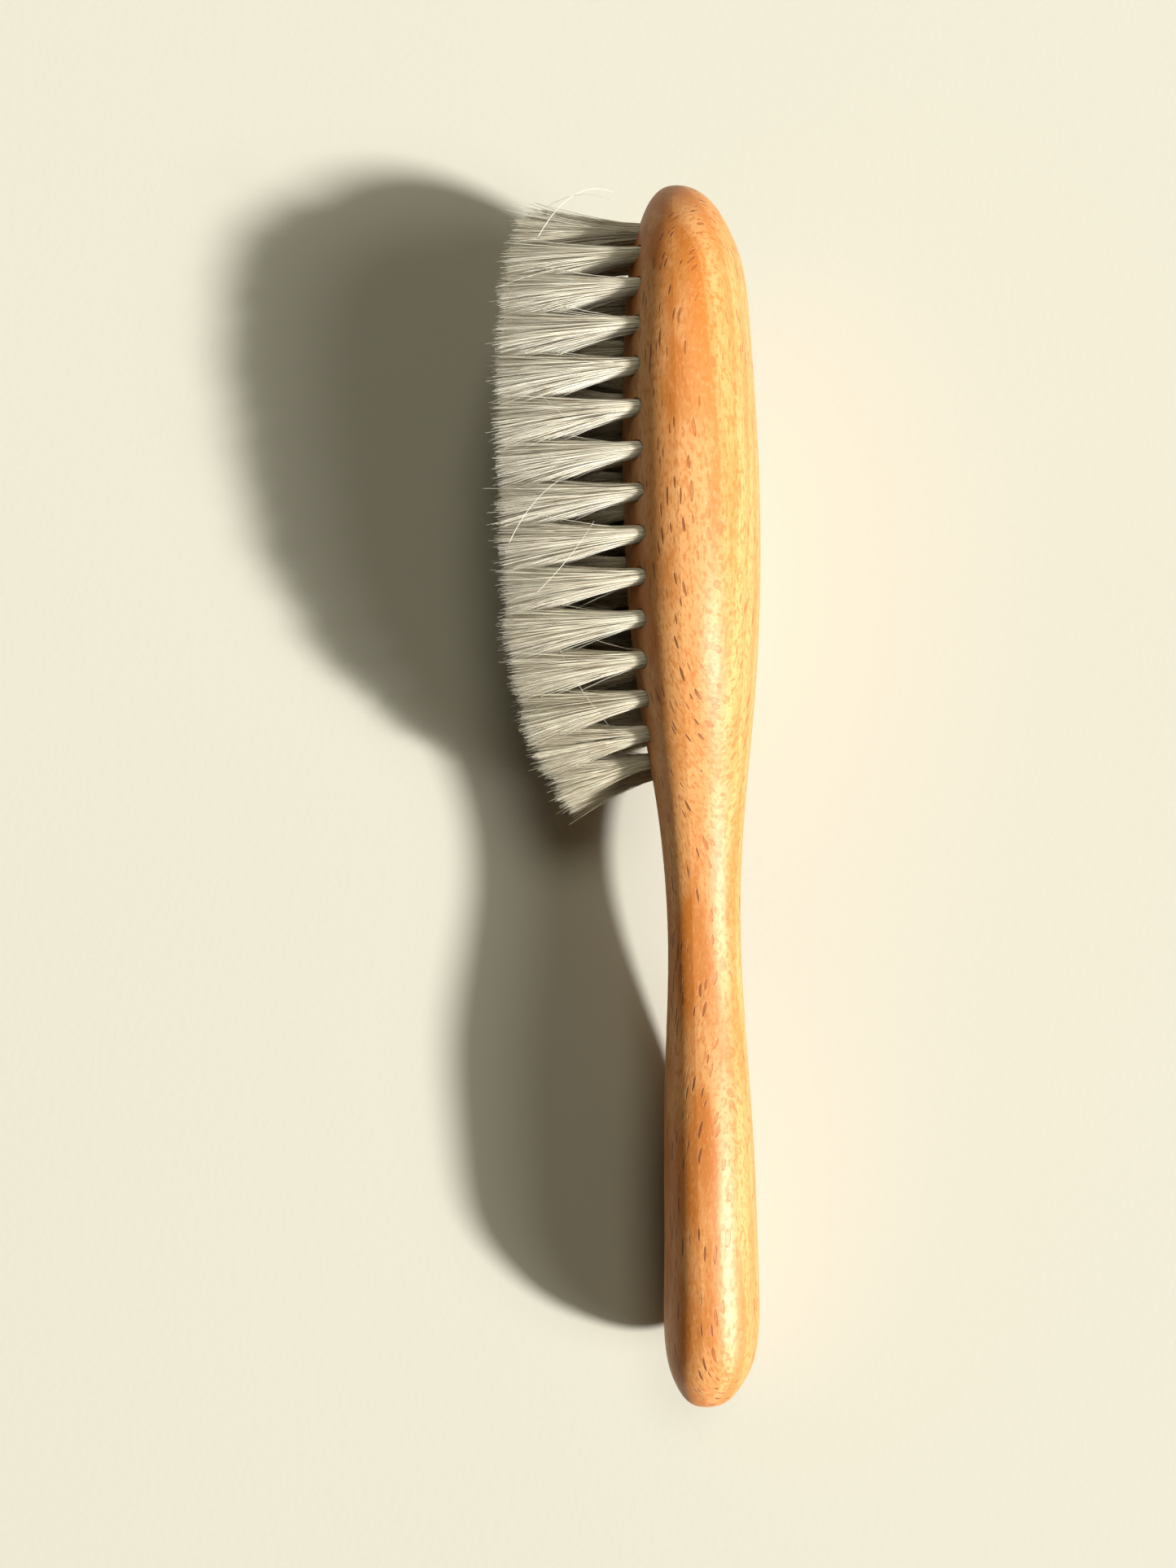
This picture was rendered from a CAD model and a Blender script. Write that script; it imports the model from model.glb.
"""Looks of a soft goat-hair brush in a one-piece beech handle, lying on its long edge."""
import math

import bpy
import numpy as np
from mathutils import Euler, Matrix, Vector


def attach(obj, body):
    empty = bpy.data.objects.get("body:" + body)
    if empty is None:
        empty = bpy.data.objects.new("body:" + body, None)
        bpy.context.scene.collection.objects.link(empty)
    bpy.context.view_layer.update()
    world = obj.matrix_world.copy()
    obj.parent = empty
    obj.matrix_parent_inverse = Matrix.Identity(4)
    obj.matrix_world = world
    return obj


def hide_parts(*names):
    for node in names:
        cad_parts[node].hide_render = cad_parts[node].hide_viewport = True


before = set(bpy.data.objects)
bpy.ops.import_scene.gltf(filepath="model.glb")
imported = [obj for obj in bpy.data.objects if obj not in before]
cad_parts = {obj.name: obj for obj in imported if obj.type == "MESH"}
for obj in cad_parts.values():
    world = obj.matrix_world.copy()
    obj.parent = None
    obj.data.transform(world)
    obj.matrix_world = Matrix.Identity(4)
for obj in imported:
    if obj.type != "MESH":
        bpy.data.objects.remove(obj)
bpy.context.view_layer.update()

bl_info = {
    "name": "Soft Hairbrush",
    "version": (1, 0, 0),
    "blender": (4, 5, 0),
    "location": "View3D > Sidebar > Brush",
    "description": "Hair tufts, beech finish and stage for a soft wooden hairbrush",
    "category": "Add Mesh",
}

MM = 0.001
TUFT_ROWS = ("outer_tuft", "inner_tuft", "centre_tuft")

# The way the brush rests: head rim, handle bulge and hair tips down. HEAD_TIP is the middle of
# the head's outer end, where the brush's own axes start.
REST_PITCH = math.radians(4.24)
REST_LEAN = math.radians(8.3)
HEAD_TIP = Vector((7.242, 87.246, 23.722)) * MM
REST_TURN = (REST_PITCH, -REST_LEAN, 0.0)


# ---- settings ---------------------------------------------------------------------------------
class BrushSettings(bpy.types.PropertyGroup):
    hairs: bpy.props.IntProperty(
        name="Hairs per tuft", description="Hair ends that stand out of one hole",
        default=640, min=50, max=900)
    hair_thickness: bpy.props.FloatProperty(
        name="Hair thickness", description="Thickness of one hair at its root",
        default=0.105 * MM, unit="LENGTH")
    tuft_spread: bpy.props.FloatProperty(
        name="Tuft spread", description="Radius of a tuft at its tips",
        default=4.2 * MM, unit="LENGTH")
    root_radius: bpy.props.FloatProperty(
        name="Root radius", description="Radius of a tuft where it leaves the wood",
        default=1.0 * MM, unit="LENGTH")
    sag: bpy.props.FloatProperty(
        name="Sag", description="How far the tips of the highest tufts hang down",
        default=3.5 * MM, unit="LENGTH")
    hole_depth: bpy.props.FloatProperty(
        name="Hole depth", description="How far a tuft goes into the head",
        default=7.0 * MM, unit="LENGTH")
    hair_light: bpy.props.FloatVectorProperty(
        name="Pale hair", description="Colour of the palest hairs", subtype="COLOR",
        default=(1.0, 0.96, 0.79), min=0.0, max=1.0)
    hair_dark: bpy.props.FloatVectorProperty(
        name="Dark hair", description="Colour of the darkest hairs", subtype="COLOR",
        default=(0.46, 0.35, 0.20), min=0.0, max=1.0)
    wood_pale: bpy.props.FloatVectorProperty(
        name="Pale beech", description="Colour of the early wood", subtype="COLOR",
        default=(0.60, 0.295, 0.105), min=0.0, max=1.0)
    wood_warm: bpy.props.FloatVectorProperty(
        name="Warm beech", description="Colour of the late wood", subtype="COLOR",
        default=(0.44, 0.140, 0.018), min=0.0, max=1.0)
    fleck: bpy.props.FloatVectorProperty(
        name="Ray flecks", description="Colour of the short dark rays", subtype="COLOR",
        default=(0.17, 0.050, 0.012), min=0.0, max=1.0)
    ladder: bpy.props.FloatVectorProperty(
        name="Ladder figure", description="Colour of the rays seen flat", subtype="COLOR",
        default=(0.42, 0.115, 0.022), min=0.0, max=1.0)
    floor: bpy.props.FloatVectorProperty(
        name="Floor", description="Colour of the paper the brush lies on", subtype="COLOR",
        default=(0.52, 0.51, 0.445), min=0.0, max=1.0)


def settings():
    return bpy.context.scene.brush_settings


# ---- node helpers -----------------------------------------------------------------------------
class Nodes:
    """Short names for wiring one material's nodes."""

    def __init__(self, name):
        self.material = bpy.data.materials.new(name)
        self.material.use_nodes = True
        self.tree = self.material.node_tree
        self.tree.nodes.clear()
        self.output = self.add("ShaderNodeOutputMaterial")
        self.shader = self.add("ShaderNodeBsdfPrincipled")
        self.link(self.shader.outputs[0], self.output.inputs["Surface"])

    def add(self, kind, **values):
        node = self.tree.nodes.new(kind)
        for key, value in values.items():
            setattr(node, key, value)
        return node

    def link(self, source, target):
        self.tree.links.new(source, target)

    def put(self, target, value):
        if isinstance(value, bpy.types.NodeSocket):
            self.link(value, target)
        else:
            target.default_value = value

    def math(self, operation, a, b=0.0, clamp=False):
        node = self.add("ShaderNodeMath", operation=operation, use_clamp=clamp)
        self.put(node.inputs[0], a)
        self.put(node.inputs[1], b)
        return node.outputs[0]

    def span(self, value, low, high, out_low=0.0, out_high=1.0):
        node = self.add("ShaderNodeMapRange", interpolation_type="SMOOTHSTEP")
        for socket, number in zip(node.inputs, (value, low, high, out_low, out_high)):
            self.put(socket, number)
        return node.outputs[0]

    def mix(self, share, a, b):
        node = self.add("ShaderNodeMix", data_type="RGBA")
        self.put(node.inputs["Factor"], share)
        self.put(node.inputs[6], a)
        self.put(node.inputs[7], b)
        return node.outputs[2]

    def noise(self, vector, scale, detail=2.0, roughness=0.5, distortion=0.0):
        node = self.add("ShaderNodeTexNoise")
        self.put(node.inputs["Vector"], vector)
        node.inputs["Scale"].default_value = scale
        node.inputs["Detail"].default_value = detail
        node.inputs["Roughness"].default_value = roughness
        node.inputs["Distortion"].default_value = distortion
        return node.outputs["Fac"]

    def stretched(self, vector, size):
        """Coordinates in which a cell of this size, in metres, measures 1."""
        node = self.add("ShaderNodeMapping")
        self.put(node.inputs["Vector"], vector)
        node.inputs["Scale"].default_value = [1.0 / length for length in size]
        return node.outputs[0]

    def bump(self, height, depth):
        node = self.add("ShaderNodeBump")
        node.inputs["Distance"].default_value = depth
        self.put(node.inputs["Height"], height)
        self.link(node.outputs[0], self.shader.inputs["Normal"])


def rgba(colour):
    return (colour[0], colour[1], colour[2], 1.0)


# ---- beech ------------------------------------------------------------------------------------
GROWTH_TURN = math.radians(-38.0)    # how far the rings are turned about the brush's length
GROWTH_RING = 4.2 * MM               # from one ring to the next
GROWTH_DRIFT = 12.0 * MM             # how far a ring strays from a plane
PALE_STREAK = (0.74, 0.42, 0.20, 1.0)
FIGURE_BUMP = 0.05 * MM

# Sizes of one cell of each pattern, in metres: across the rings, along the grain, along the rings.
DRIFT_CELL = (0.020, 0.060, 0.020)
CLOUD_CELL = (0.0055, 0.026, 0.007)
PORE_CELL = (0.0007, 0.0012, 0.00022)
STREAK_CELL = (0.0006, 0.0010, 0.00016)
RAY_CELL = (0.0026, 0.0050, 0.00044)
RAY_BEND_CELL = (0.004, 0.004, 0.004)
RAY_BEND = (0.3, 0.3, 0.8)           # how far a ray is pushed off its place, in cells


def growth_bands(n, grain, brush):
    """How warm the wood is: late wood in each ring, and warm clouds on the hair side."""
    split = n.add("ShaderNodeSeparateXYZ")
    n.link(grain, split.inputs[0])
    drift = n.noise(n.stretched(grain, DRIFT_CELL), 1.0, 2.0)
    wander = n.math("MULTIPLY", n.math("SUBTRACT", drift, 0.5), GROWTH_DRIFT)
    depth = n.math("ADD", split.outputs[0], wander)
    ring = n.math("FRACT", n.math("DIVIDE", depth, GROWTH_RING))
    late = n.math("MULTIPLY", n.span(ring, 0.15, 0.8), n.span(ring, 1.0, 0.86))
    cloud = n.noise(n.stretched(grain, CLOUD_CELL), 1.0, 3.0, 0.55)
    straight = n.add("ShaderNodeSeparateXYZ")
    n.link(brush, straight.inputs[0])
    side = n.span(straight.outputs[0], 0.010, -0.003, 0.25, 0.95)
    warmth = n.math("MULTIPLY", n.span(cloud, 0.41, 0.60), side)
    return n.math("ADD", n.math("MULTIPLY", late, 0.35), warmth, clamp=True)


def ray_dashes(n, grain):
    """Short dashes along the grain, each with its own width and strength."""
    rays = n.add("ShaderNodeTexVoronoi", feature="F1", distance="EUCLIDEAN")
    bend = n.noise(n.stretched(grain, RAY_BEND_CELL), 1.0, 1.0)
    bent = n.add("ShaderNodeVectorMath", operation="MULTIPLY_ADD")
    n.link(n.stretched(grain, RAY_CELL), bent.inputs[2])
    n.put(bent.inputs[0], bend)
    bent.inputs[1].default_value = RAY_BEND
    n.link(bent.outputs[0], rays.inputs["Vector"])
    rays.inputs["Scale"].default_value = 1.0
    rays.inputs["Randomness"].default_value = 1.0
    chance = n.add("ShaderNodeSeparateColor")
    n.link(rays.outputs["Color"], chance.inputs[0])
    limit = n.math("MULTIPLY_ADD", chance.outputs[0], 0.12)
    limit.node.inputs[2].default_value = 0.15
    dash = n.span(n.math("SUBTRACT", rays.outputs["Distance"], limit), 0.025, -0.02)
    return n.math("MULTIPLY", dash, n.span(chance.outputs[1], 0.0, 0.30, 0.3, 0.9))


def ray_flatness(n, coordinates):
    """1 where the surface cuts the rays flat, as a ladder, and 0 where it cuts their ends."""
    away = Matrix.Rotation(-GROWTH_TURN, 3, "Y") @ Vector((0.0, 0.0, 1.0))
    facing = n.add("ShaderNodeVectorMath", operation="DOT_PRODUCT")
    n.link(coordinates.outputs["Normal"], facing.inputs[0])
    facing.inputs[1].default_value = Euler(REST_TURN).to_matrix() @ away
    return n.span(facing.outputs["Value"], 0.80, 0.95)


def beech():
    """Oiled beech: growth bands, a fine pore figure, dark ray ends and ladder flecks."""
    look = settings()
    n = Nodes("beech_oiled")
    coordinates = n.add("ShaderNodeTexCoord")
    brush = n.add("ShaderNodeMapping", vector_type="TEXTURE")
    n.link(coordinates.outputs["Object"], brush.inputs["Vector"])
    brush.inputs["Location"].default_value = HEAD_TIP
    brush.inputs["Rotation"].default_value = REST_TURN
    turned = n.add("ShaderNodeMapping")
    n.link(brush.outputs[0], turned.inputs["Vector"])
    turned.inputs["Rotation"].default_value = (0.0, GROWTH_TURN, 0.0)
    grain = turned.outputs[0]        # x: across the rings, y: along the grain, z: along the rings

    warm = growth_bands(n, grain, brush.outputs[0])
    wood = n.mix(warm, rgba(look.wood_pale), rgba(look.wood_warm))
    pores = n.noise(n.stretched(grain, PORE_CELL), 1.0, 2.0, 0.6)
    pore = n.math("MULTIPLY", n.span(pores, 0.46, 0.64), 0.72)
    wood = n.mix(pore, wood, rgba(look.wood_warm))
    streaks = n.noise(n.stretched(grain, STREAK_CELL), 1.0, 2.0, 0.6)
    streak = n.math("MULTIPLY", n.span(streaks, 0.50, 0.70), 0.20)
    wood = n.mix(streak, wood, PALE_STREAK)

    dash = ray_dashes(n, grain)
    ladder = ray_flatness(n, coordinates)
    fleck = n.mix(ladder, rgba(look.fleck), rgba(look.ladder))
    strength = n.math("MULTIPLY", dash, n.span(ladder, 0.0, 1.0, 1.0, 0.6))
    wood = n.mix(strength, wood, fleck)
    n.link(wood, n.shader.inputs["Base Color"])

    rough = n.math("ADD", n.math("MULTIPLY", pores, 0.16), 0.42)
    n.link(rough, n.shader.inputs["Roughness"])
    n.shader.inputs["Specular IOR Level"].default_value = 0.42
    n.bump(n.math("SUBTRACT", n.math("MULTIPLY", pores, 0.30), dash), FIGURE_BUMP)
    return n.material


class BRUSH_OT_beech_body(bpy.types.Operator):
    """Oiled beech on the one-piece head, neck and handle"""
    bl_idname = "brush.beech_body"
    bl_label = "Beech body"

    def execute(self, context):
        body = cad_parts["brush_body"]
        body.data.materials.clear()
        body.data.materials.append(beech())
        return {"FINISHED"}


# ---- hair -------------------------------------------------------------------------------------
RINGS = 6                        # points along one hair
SIDES = 3
TAPER_PLACES = (0.0, 0.55, 1.0)
TAPER = (1.0, 0.85, 0.32)        # thickness at those places along a hair
BURIED = 1.5 * MM                # how deep in its hole a hair starts
SAG_HEIGHT = 40.0 * MM           # height above the floor at which a tuft hangs down in full
INNER_FULLNESS = 1.35            # the inner tufts stand further apart, so they spread further
FLARE = 1.55                     # 1 is a plain cone, more keeps a tuft narrow near its root
LOCKS = 16                       # locks in one tuft
LOCK_PULL = 0.30                 # how far, at most, a hair is drawn to the middle of its lock
STRAY_SHARE = 0.08
STRAY_REACH = 0.36               # how far a stray hair's tip scatters, in parts of the spread
PLAIN_REACH = 0.07
TUFT_LEAN = 0.05
CUT = (0.935, 0.020)             # length of a hair against its solid's: usual, and its scatter
LONG_HAIRS = (0.05, 0.07)        # share of the hairs, and how much longer at most
SHORT_HAIRS = (0.18, 0.16)       # share of the hairs, and how much shorter at most
WAVE = 0.30 * MM
SHADE = (0.78, 0.24, 0.12)       # usual shade, scatter from hair to hair and from lock to lock
FLOOR_GAP = (0.6, 3.0)           # least height over the floor, and its range, in thicknesses
FIRST_SEED = 100


def goat_hair():
    """Pale hair: each one its own shade, darker towards the root, with a soft sheen."""
    look = settings()
    n = Nodes("goat_hair")
    shade = n.add("ShaderNodeAttribute", attribute_name="shade").outputs["Fac"]
    reach = n.add("ShaderNodeAttribute", attribute_name="reach").outputs["Fac"]
    hair = n.mix(shade, rgba(look.hair_dark), rgba(look.hair_light))
    root = n.math("MULTIPLY", n.span(reach, 0.62, 0.0), 0.75)
    hair = n.mix(root, hair, rgba(look.hair_dark))
    n.link(hair, n.shader.inputs["Base Color"])
    place = n.add("ShaderNodeTexCoord").outputs["Object"]
    patch = n.noise(n.stretched(place, (0.0008, 0.0008, 0.0008)), 1.0, 1.0)
    n.link(n.span(patch, 0.3, 0.7, 0.36, 0.50), n.shader.inputs["Roughness"])
    n.shader.inputs["Specular IOR Level"].default_value = 0.45
    n.shader.inputs["Sheen Weight"].default_value = 0.9
    return n.material


def tuft_line(node):
    """Hole bottom, direction out of the head and length of a tuft, from its solid."""
    points = np.array([v.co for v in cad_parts[node].data.vertices])
    centre = points.mean(0)
    direction = np.linalg.svd(points - centre, full_matrices=False)[2][0]
    if direction[0] > 0:
        direction = -direction
    reach = (points - centre) @ direction
    bottom = centre + direction * reach.min()
    return bottom, direction, reach.max() - reach.min()


def side_axes(direction):
    """Two directions square to a tuft's and to each other."""
    first = np.cross(direction, (0.0, 1.0, 0.0))
    first /= np.linalg.norm(first)
    return first, np.cross(direction, first)


def scattered(count, draw):
    """Points spread evenly over a disc of radius 1."""
    rho = np.sqrt(draw.random(count))
    phi = draw.random(count) * 2.0 * np.pi
    return np.stack([rho * np.cos(phi), rho * np.sin(phi)], 1)


def aimed(disc, lock, nearest, draw):
    """Where each hair's tip points: towards its lock, with a few strays."""
    count = len(disc)
    gather = LOCK_PULL * draw.random(count)[:, None]
    aim = disc * (1.0 - gather) + lock[nearest] * gather
    stray = np.where(draw.random(count) < STRAY_SHARE, STRAY_REACH, PLAIN_REACH)[:, None]
    return aim + draw.normal(size=(count, 2)) * stray


def cut_lengths(count, draw):
    """Length of each hair against its tuft's: nearly level, some longer, more of them shorter."""
    cut = CUT[0] + draw.normal(size=count) * CUT[1]
    longer = draw.random(count) < LONG_HAIRS[0]
    cut = np.where(longer, cut + LONG_HAIRS[1] * draw.random(count), cut)
    shorter = draw.random(count) < SHORT_HAIRS[0]
    return np.where(shorter, cut - SHORT_HAIRS[1] * draw.random(count), cut)


def lay_hairs(bottom, direction, length, spread, count, draw):
    """Centre lines and shades of a tuft's hairs: packed in the hole, fanned out, cut level."""
    look = settings()
    start = look.hole_depth - BURIED
    run = length - start
    first, second = side_axes(direction)
    disc = scattered(count, draw)
    lock = scattered(LOCKS, draw)
    nearest = np.argmin(((disc[:, None] - lock[None]) ** 2).sum(2), 1)
    aim = aimed(disc, lock, nearest, draw)
    lean = draw.normal(size=2) * TUFT_LEAN
    cut = cut_lengths(count, draw)

    wave_size = draw.random(count) * WAVE
    wave_turn = draw.random(count) * 2.0 * np.pi
    wave_count = 0.5 + 0.9 * draw.random(count)
    side = draw.random(count) * 2.0 * np.pi

    lines = np.empty((count, RINGS, 3))
    for i in range(RINGS):
        t = i / (RINGS - 1)
        flare = t ** FLARE
        flat = disc * look.root_radius * (1.0 - flare) + aim * spread * flare
        flat = flat + lean * spread * t * t
        swing = wave_size * t * np.sin(wave_turn + wave_count * t * 2.0 * np.pi)
        flat = flat + np.stack([swing * np.cos(side), swing * np.sin(side)], 1)
        away = start + run * t * cut
        place = bottom + away[:, None] * direction
        lines[:, i] = place + flat[:, :1] * first + flat[:, 1:] * second
        lines[:, i, 2] -= look.sag * t * t * np.clip(lines[:, i, 2] / SAG_HEIGHT, 0.0, 1.0)
    shade = SHADE[0] + draw.normal(size=count) * SHADE[1]
    shade = shade + draw.normal(size=LOCKS)[nearest] * SHADE[2]
    return lines, np.clip(shade, 0.0, 1.0)


def keep_off_floor(lines, thickness, draw):
    """Hold every point of a hair at least a little above the floor."""
    least = thickness * (FLOOR_GAP[0] + FLOOR_GAP[1] * draw.random(lines.shape[0]))[:, None]
    lines[:, :, 2] = np.maximum(lines[:, :, 2], least)


def hair_curve(name, lines, thickness):
    """One curve object with a tapered strand for each line."""
    curve = bpy.data.curves.new(name, "CURVE")
    curve.dimensions = "3D"
    curve.bevel_mode = "OBJECT"
    curve.bevel_object = strand_section()
    curve.use_fill_caps = True
    count = lines.shape[1]
    taper = np.interp(np.linspace(0, 1, count), TAPER_PLACES, TAPER)
    for line in lines:
        spline = curve.splines.new("POLY")
        spline.points.add(count - 1)
        spline.points.foreach_set("co", np.hstack([line, np.ones((count, 1))]).ravel())
        spline.points.foreach_set("radius", taper * thickness * 0.5)
    return curve


def strand_section():
    """Three-sided outline of a hair, one unit in radius."""
    outline = bpy.data.curves.new("strand_section", "CURVE")
    outline.dimensions = "2D"
    spline = outline.splines.new("POLY")
    spline.points.add(SIDES - 1)
    spline.use_cyclic_u = True
    for i, point in enumerate(spline.points):
        turn = 2.0 * math.pi * i / SIDES
        point.co = (math.cos(turn), math.sin(turn), 0.0, 1.0)
    holder = bpy.data.objects.new("strand_section", outline)
    bpy.context.scene.collection.objects.link(holder)
    return holder


def hair_piece(name, lines, shade, thickness, material):
    """A mesh of strands, with each hair's shade and the place along it as attributes."""
    curve = hair_curve(name, lines, thickness)
    holder = bpy.data.objects.new(name + "_line", curve)
    bpy.context.scene.collection.objects.link(holder)
    bpy.context.view_layer.update()
    mesh = bpy.data.meshes.new_from_object(holder.evaluated_get(
        bpy.context.evaluated_depsgraph_get()))
    bpy.data.objects.remove(holder)
    bpy.data.curves.remove(curve)
    bpy.data.objects.remove(bpy.data.objects["strand_section"])
    mesh.name = name
    piece = bpy.data.objects.new(name, mesh)
    bpy.context.scene.collection.objects.link(piece)
    each = len(mesh.vertices) // len(lines)
    strand = np.minimum(np.arange(len(mesh.vertices)) // each, len(lines) - 1)
    ring = np.arange(len(mesh.vertices)) % each // SIDES
    for key, values in (("shade", shade[strand]), ("reach", ring / (lines.shape[1] - 1))):
        layer = mesh.attributes.new(key, "FLOAT", "POINT")
        layer.data.foreach_set("value", np.clip(values, 0, 1).astype(np.float32))
    mesh.polygons.foreach_set("use_smooth", [True] * len(mesh.polygons))
    mesh.materials.clear()
    mesh.materials.append(material)
    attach(piece, "root")
    return piece


class BRUSH_OT_hair_tufts(bpy.types.Operator):
    """A tuft of separate hairs in every hole of the head"""
    bl_idname = "brush.hair_tufts"
    bl_label = "Hair tufts"

    def execute(self, context):
        look = settings()
        material = goat_hair()
        names = [n for n in sorted(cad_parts) if n.rsplit("_", 1)[0] in TUFT_ROWS]
        for seed, node in enumerate(names, FIRST_SEED):
            draw = np.random.default_rng(seed)
            bottom, direction, length = tuft_line(node)
            spread = look.tuft_spread
            if not node.startswith("outer_tuft"):
                spread = spread * INNER_FULLNESS
            lines, shade = lay_hairs(bottom, direction, length, spread, look.hairs, draw)
            keep_off_floor(lines, look.hair_thickness, draw)
            piece = hair_piece("hair_" + node, lines, shade, look.hair_thickness, material)
            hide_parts(node)
        return {"FINISHED"}


# Shed hairs caught on the tufts: start, a point that pulls the middle its way, and end, in mm.
LOOSE_HAIRS = (
    ((-11.5, 78.4, 36.0), (-5.0, 79.6, 41.5), (0.8, 75.2, 38.8)),
    ((-12.5, 74.0, 37.0), (-8.0, 80.5, 40.0), (-2.5, 80.0, 37.0)),
    ((-10.6, 19.2, 34.2), (-8.4, 13.5, 36.4), (-4.3, 9.2, 33.4)),
    ((-16.5, 56.0, 37.5), (-12.0, 50.0, 41.5), (-8.0, 47.5, 39.0)),
    ((-17.0, 33.0, 36.5), (-14.0, 38.0, 40.5), (-9.5, 41.0, 39.0)),
    ((-13.5, 26.5, 36.0), (-9.0, 30.0, 39.5), (-6.0, 35.0, 39.0)),
)
LOOSE_RINGS = 14                 # points along one shed hair
LOOSE_THICKNESS = 0.8            # against a tuft's hair
LOOSE_SHADES = (1.0, 0.6)        # from the first to the last


class BRUSH_OT_loose_hairs(bpy.types.Operator):
    """A few shed hairs caught across the tufts"""
    bl_idname = "brush.loose_hairs"
    bl_label = "Loose hairs"

    def execute(self, context):
        thickness = settings().hair_thickness * LOOSE_THICKNESS
        material = bpy.data.materials["goat_hair"]
        t = np.linspace(0.0, 1.0, LOOSE_RINGS)[None, :, None]
        start, beside, end = (np.array(LOOSE_HAIRS)[:, i:i + 1] * MM for i in range(3))
        lines = start * (1 - t) ** 2 + beside * 2 * t * (1 - t) + end * t ** 2
        shade = np.linspace(*LOOSE_SHADES, len(LOOSE_HAIRS))
        hair_piece("loose_hairs", lines, shade, thickness, material)
        return {"FINISHED"}


# ---- anchors ----------------------------------------------------------------------------------
STRIP_DULL = (0.50, 0.48, 0.44, 1.0)
STRIP_BRIGHT = (0.66, 0.64, 0.60, 1.0)
STRIP_CELL = (0.0004, 0.0001, 0.004)


def drawn_metal():
    """Drawn metal strip with fine streaks."""
    n = Nodes("drawn_strip")
    place = n.add("ShaderNodeTexCoord").outputs["Object"]
    streak = n.noise(n.stretched(place, STRIP_CELL), 1.0, 2.0)
    n.link(n.mix(streak, STRIP_DULL, STRIP_BRIGHT), n.shader.inputs["Base Color"])
    n.shader.inputs["Metallic"].default_value = 1.0
    n.link(n.span(streak, 0.2, 0.8, 0.28, 0.45), n.shader.inputs["Roughness"])
    return n.material


class BRUSH_OT_tuft_anchors(bpy.types.Operator):
    """Drawn flat strip for the anchors that hold the tufts in their holes"""
    bl_idname = "brush.tuft_anchors"
    bl_label = "Tuft anchors"

    def execute(self, context):
        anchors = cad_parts["tuft_anchors"]
        anchors.data.materials.clear()
        anchors.data.materials.append(drawn_metal())
        return {"FINISHED"}


# ---- stage ------------------------------------------------------------------------------------
CAMERA_PLACE = Vector((-12.54, -8.34, 187.06)) * MM
CAMERA_TURN = (math.radians(3.67), math.radians(-1.98), math.radians(-0.96))
LENS_MM = 26.9
SENSOR_MM = 36.0
NEAR_LIMIT = 0.01
FLOOR_SIZE = 16.0
SUN_FROM = Vector((1.43, -0.687, 1.0))
SUN_WIDTH = math.radians(6.0)
SUN_STRENGTH = 7.2
SUN_COLOUR = (1.0, 0.985, 0.93)
ROOM_COLOUR = (1.0, 0.88, 0.60, 1.0)
ROOM_STRENGTH = 0.06

# Area lights: name, place, width in metres, power in watts and colour.
AREA_LIGHTS = (
    ("window", Vector((3.0, -1.35, 2.55)), 1.8, 72.0, (1.0, 0.97, 0.90)),
    ("overhead", Vector((0.1, 0.45, 0.9)), 0.4, 2.3, (1.0, 0.94, 0.74)),
)
PAPER_TOOTH = 900.0              # cells in a metre
PAPER_TINT = 6.0
PAPER_SHADE = 0.955              # the darker tint against the paler
PAPER_BUMP = 0.02 * MM


def paper():
    """Pale, nearly matt paper with a faint tooth and a faint change of tint."""
    look = settings()
    n = Nodes("pale_paper")
    place = n.add("ShaderNodeTexCoord").outputs["Object"]
    tooth = n.noise(place, PAPER_TOOTH, 3.0)
    tint = n.noise(place, PAPER_TINT, 2.0)
    shade = [PAPER_SHADE * value for value in look.floor]
    n.link(n.mix(tint, rgba(shade), rgba(look.floor)), n.shader.inputs["Base Color"])
    n.shader.inputs["Roughness"].default_value = 0.85
    n.shader.inputs["Specular IOR Level"].default_value = 0.2
    n.bump(tooth, PAPER_BUMP)
    return n.material


def add_sun():
    sun = bpy.data.lights.new("key", "SUN")
    sun.energy = SUN_STRENGTH
    sun.angle = SUN_WIDTH
    sun.color = SUN_COLOUR
    holder = bpy.data.objects.new("key", sun)
    holder.rotation_euler = SUN_FROM.to_track_quat("Z", "Y").to_euler()
    bpy.context.scene.collection.objects.link(holder)


def add_room():
    world = bpy.data.worlds.new("room")
    world.use_nodes = True
    background = world.node_tree.nodes["Background"]
    background.inputs["Color"].default_value = ROOM_COLOUR
    background.inputs["Strength"].default_value = ROOM_STRENGTH
    bpy.context.scene.world = world


def add_soft_light(name, place, size, energy, colour):
    """A round area light that faces the brush."""
    light = bpy.data.lights.new(name, "AREA")
    light.shape = "DISK"
    light.size = size
    light.energy = energy
    light.color = colour
    holder = bpy.data.objects.new(name, light)
    holder.location = place
    holder.rotation_euler = place.to_track_quat("Z", "Y").to_euler()
    bpy.context.scene.collection.objects.link(holder)


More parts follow.
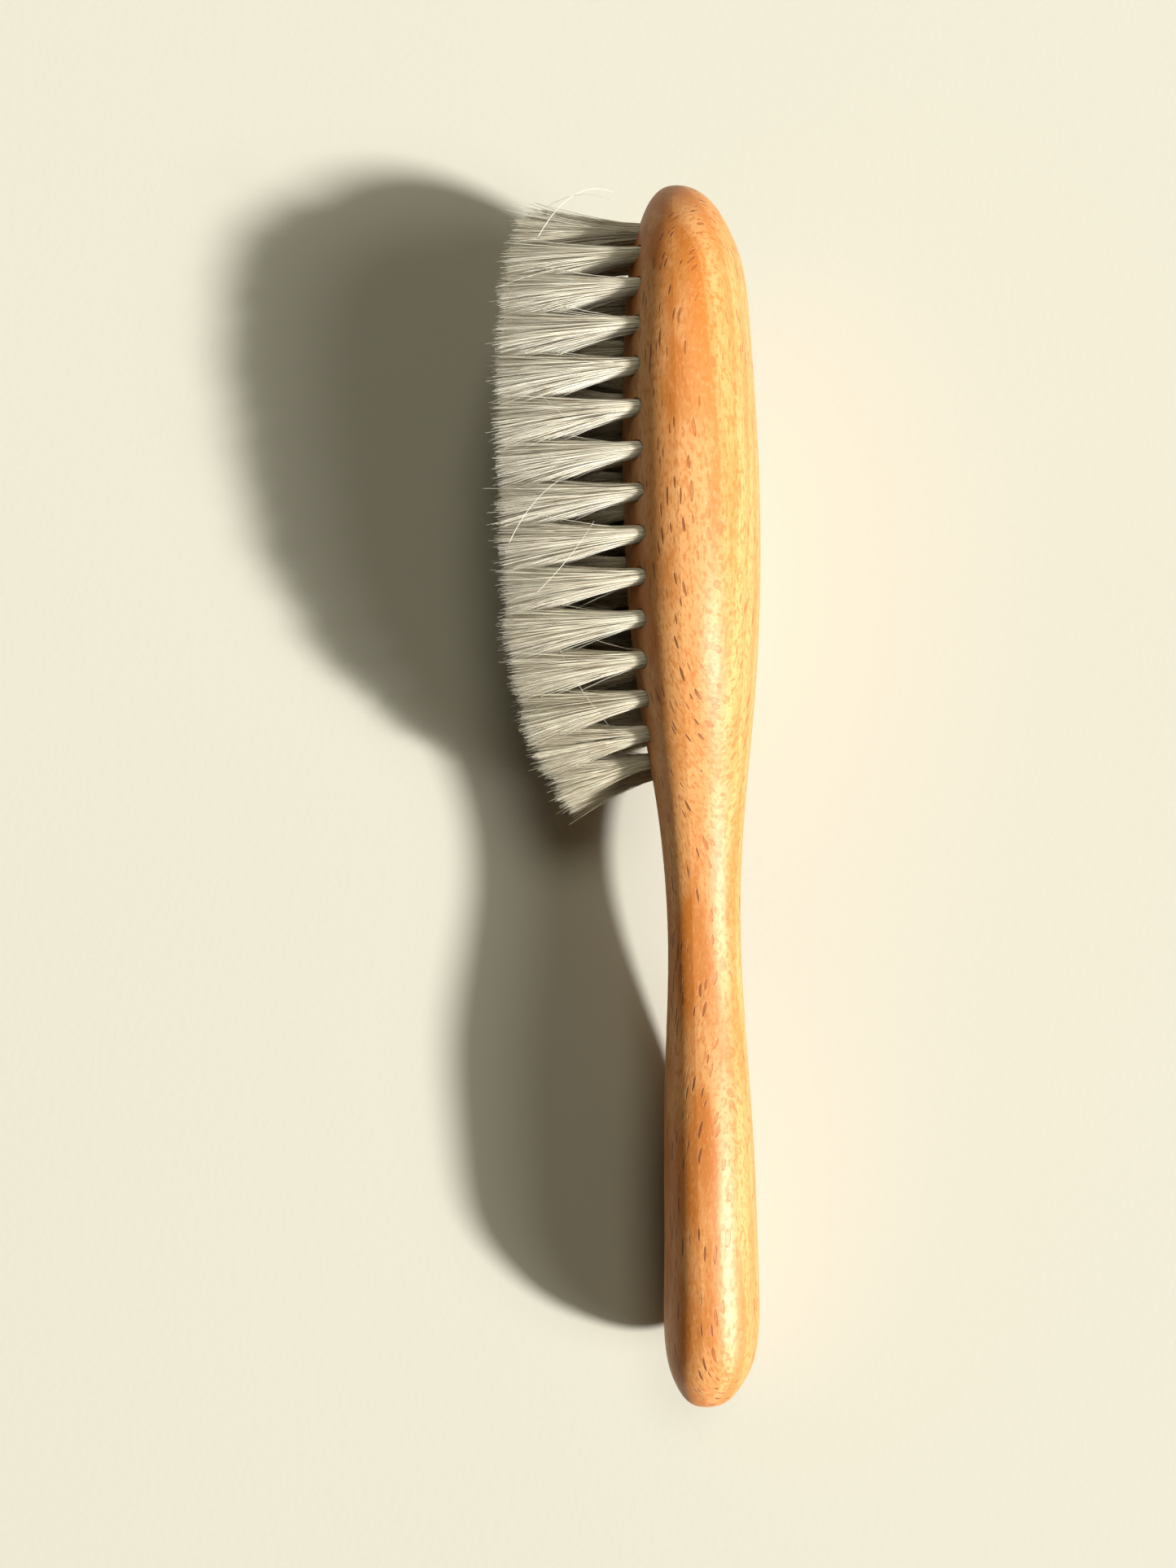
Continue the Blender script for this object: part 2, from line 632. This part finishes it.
def add_camera():
    camera = bpy.data.cameras.new("camera")
    camera.lens = LENS_MM
    camera.sensor_width = SENSOR_MM
    camera.clip_start = NEAR_LIMIT
    holder = bpy.data.objects.new("camera", camera)
    turn = Euler(CAMERA_TURN, "ZYX").to_matrix().to_4x4()
    holder.matrix_world = Matrix.Translation(CAMERA_PLACE) @ turn
    bpy.context.scene.collection.objects.link(holder)
    bpy.context.scene.camera = holder


class BRUSH_OT_stage(bpy.types.Operator):
    """Pale floor, a low sun, two soft lights, a dim warm room and the camera"""
    bl_idname = "brush.stage"
    bl_label = "Stage"

    def execute(self, context):
        bpy.ops.mesh.primitive_plane_add(size=FLOOR_SIZE)
        floor = bpy.context.active_object
        floor.name = "floor"
        floor.data.materials.append(paper())
        add_sun()
        add_room()
        for light in AREA_LIGHTS:
            add_soft_light(*light)
        add_camera()
        bpy.context.scene.view_settings.view_transform = "Standard"
        return {"FINISHED"}


# ---- panel and registration -------------------------------------------------------------------
OPERATORS = (
    BRUSH_OT_stage,
    BRUSH_OT_beech_body,
    BRUSH_OT_hair_tufts,
    BRUSH_OT_loose_hairs,
    BRUSH_OT_tuft_anchors,
)


class BRUSH_PT_panel(bpy.types.Panel):
    """Lists the brush's pieces and its sizes and colours"""
    bl_label = "Soft hairbrush"
    bl_idname = "BRUSH_PT_panel"
    bl_space_type = "VIEW_3D"
    bl_region_type = "UI"
    bl_category = "Brush"

    def draw(self, context):
        for key in BrushSettings.__annotations__:
            self.layout.prop(context.scene.brush_settings, key)
        for operator in OPERATORS:
            self.layout.operator(operator.bl_idname)


CLASSES = (BrushSettings,) + OPERATORS + (BRUSH_PT_panel,)


def register():
    for item in CLASSES:
        bpy.utils.register_class(item)
    bpy.types.Scene.brush_settings = bpy.props.PointerProperty(type=BrushSettings)


def unregister():
    del bpy.types.Scene.brush_settings
    for item in reversed(CLASSES):
        bpy.utils.unregister_class(item)


def main():
    register()
    bpy.ops.brush.stage()
    bpy.ops.brush.beech_body()
    bpy.ops.brush.hair_tufts()
    bpy.ops.brush.loose_hairs()
    bpy.ops.brush.tuft_anchors()


if __name__ == "__main__":
    main()
